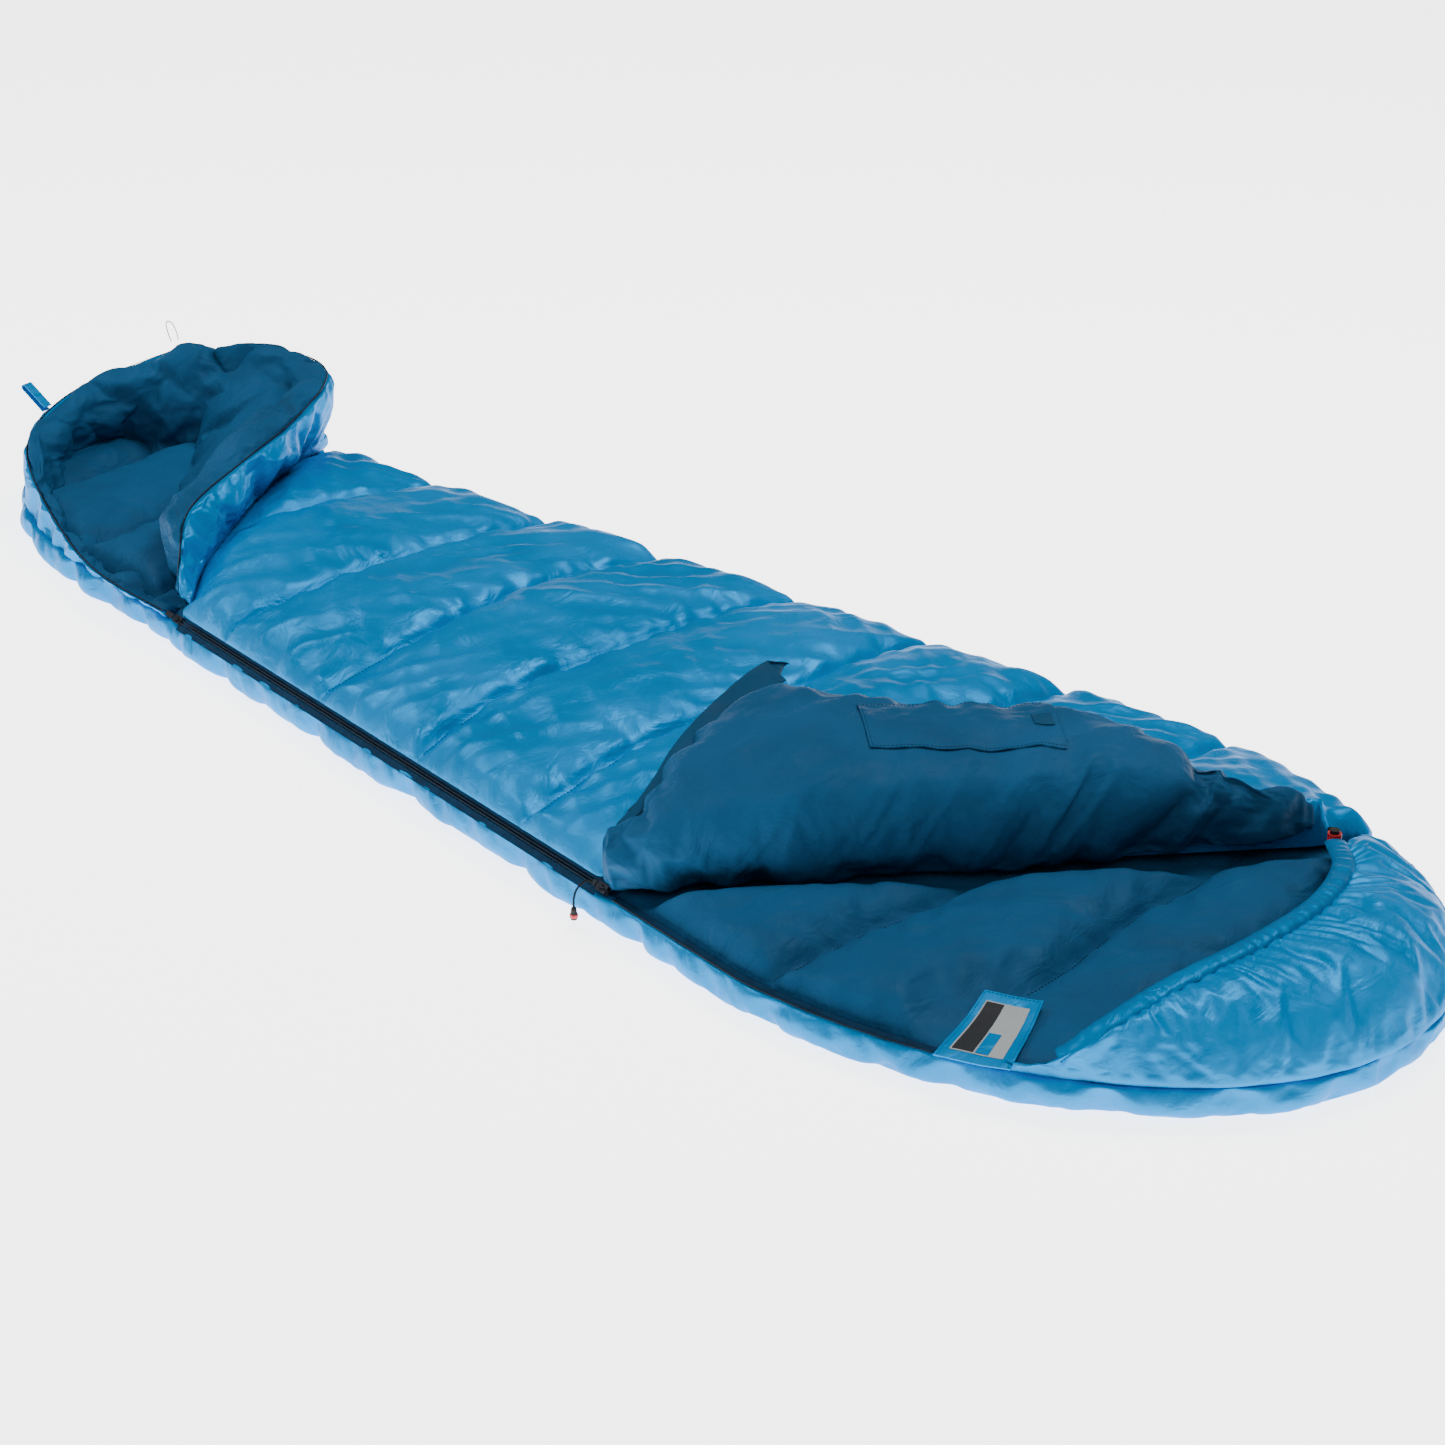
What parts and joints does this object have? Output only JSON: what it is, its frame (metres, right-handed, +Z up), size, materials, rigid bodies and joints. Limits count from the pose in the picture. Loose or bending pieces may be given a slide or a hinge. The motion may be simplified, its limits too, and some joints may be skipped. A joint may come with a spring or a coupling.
{
  "type": "mummy sleeping bag",
  "caption": "Hooded, tapered quilted sleeping bag laid open: side zip with two sliders, chest corner folded back, foot end unzipped and propped open.",
  "frame": {"origin": "on the flat underside, on the bag's middle line, a little below half its length", "axes": "+X towards the head, -Y the side with the zip, +Z up"},
  "size_m": [2.2822, 0.7562, 0.2166],
  "materials": {
    "shell_cloth": "satin",
    "lining_cloth": "matte",
    "fill": "matte",
    "zip_tape": "matte",
    "zip_metal": "satin",
    "black_cord": "matte",
    "black_plastic": "matte",
    "red_plastic": "gloss",
    "label": "satin"
  },
  "bodies": {
    "bag": {"bottom_shell": "shell_cloth", "bottom_fill": "fill", "bottom_lining": "lining_cloth", "top_shell": "shell_cloth", "top_fill": "fill", "top_lining": "lining_cloth", "hood_shell": "shell_cloth", "hood_fill": "fill", "hood_lining": "lining_cloth", "foot_wall_shell": "shell_cloth", "foot_wall_fill": "fill", "foot_wall_lining": "lining_cloth", "zip_tape_lower": "zip_tape", "zip_tape_upper": "zip_tape", "zip_coil_lower": "zip_tape", "zip_coil_upper": "zip_tape", "zip_tape_chest_lower": "zip_tape", "zip_coil_chest_lower": "zip_tape", "zip_tape_foot_lower": "zip_tape", "zip_coil_foot_lower": "zip_tape", "hood_tunnel": "shell_cloth", "drawcord": "black_cord", "drawcord_knot": "black_cord", "elastic_loop": "black_cord"},
    "chest_flap": {"chest_flap_shell": "shell_cloth", "chest_flap_fill": "fill", "chest_flap_lining": "lining_cloth", "zip_tape_chest_flap": "zip_tape", "zip_coil_chest_flap": "zip_tape", "draft_strip": "lining_cloth", "inner_pocket": "lining_cloth", "pocket_hook": "zip_tape"},
    "foot_flap": {"foot_flap_shell": "shell_cloth", "foot_flap_fill": "fill", "foot_flap_lining": "lining_cloth", "zip_tape_foot_flap": "zip_tape", "zip_coil_foot_flap": "zip_tape"},
    "chest_slider": {"chest_slider": "zip_metal"},
    "chest_pull": {"chest_puller": "zip_metal", "chest_pull_cord": "black_cord", "chest_pull_end": "black_plastic"},
    "foot_slider": {"foot_slider": "zip_metal"},
    "foot_pull": {"foot_puller": "zip_metal"},
    "label_tab": {"label_tab": "shell_cloth", "label_patch": "label"},
    "toggle": {"toggle_barrel": "red_plastic"},
    "toggle_button": {"toggle_button": "black_plastic"},
    "hanging_loop": {"ribbon_loop": "shell_cloth"}
  },
  "joints": [
    {"name": "chest_flap_fold", "type": "hinge", "parent": "bag", "child": "chest_flap", "pos_m": [0.223, -0.35317, 0.112], "axis": [0.6203, 0.7844, 0], "range_deg": [0, 172]},
    {"name": "foot_flap_fold", "type": "hinge", "parent": "bag", "child": "foot_flap", "pos_m": [-0.672, -0.236, 0.084], "axis": [-0.5642, 0.8256, 0], "range_deg": [0, 45]},
    {"name": "chest_slider_run", "type": "slide", "parent": "bag", "child": "chest_slider", "axis": [-0.9945, 0.1044, 0], "range_m": [0, 0.5]},
    {"name": "foot_slider_run", "type": "slide", "parent": "bag", "child": "foot_slider", "axis": [0.9945, -0.1044, 0], "range_m": [0, 0.33]},
    {"name": "chest_pull_swing", "type": "hinge", "parent": "chest_slider", "child": "chest_pull", "pos_m": [0.22865, -0.35681, 0.04855], "axis": [0.074, 0.7052, 0.7052], "range_deg": [0, 120]},
    {"name": "foot_pull_swing", "type": "hinge", "parent": "foot_slider", "child": "foot_pull", "pos_m": [-0.66628, -0.26284, 0.04855], "axis": [0.074, 0.7052, 0.7052], "range_deg": [0, 150]},
    {"name": "label_tab_turn", "type": "hinge", "parent": "bag", "child": "label_tab", "pos_m": [0.69, -0.352, 0.0422], "axis": [0.9285, 0.3714, 0], "range_deg": [0, 150]},
    {"name": "toggle_run", "type": "slide", "parent": "bag", "child": "toggle", "axis": [-0.6843, 0.7176, -0.1299], "range_m": [-0.01, 0.01]},
    {"name": "toggle_press", "type": "slide", "parent": "toggle", "child": "toggle_button", "axis": [0, 0, -1], "range_m": [0, 0.0025], "stiffness_N_per_m": 400},
    {"name": "hanging_loop_turn", "type": "hinge", "parent": "bag", "child": "hanging_loop", "pos_m": [-1.258, -0.06, 0.128], "axis": [0.2, -0.9798, 0], "range_deg": [-20, 30]}
  ]
}
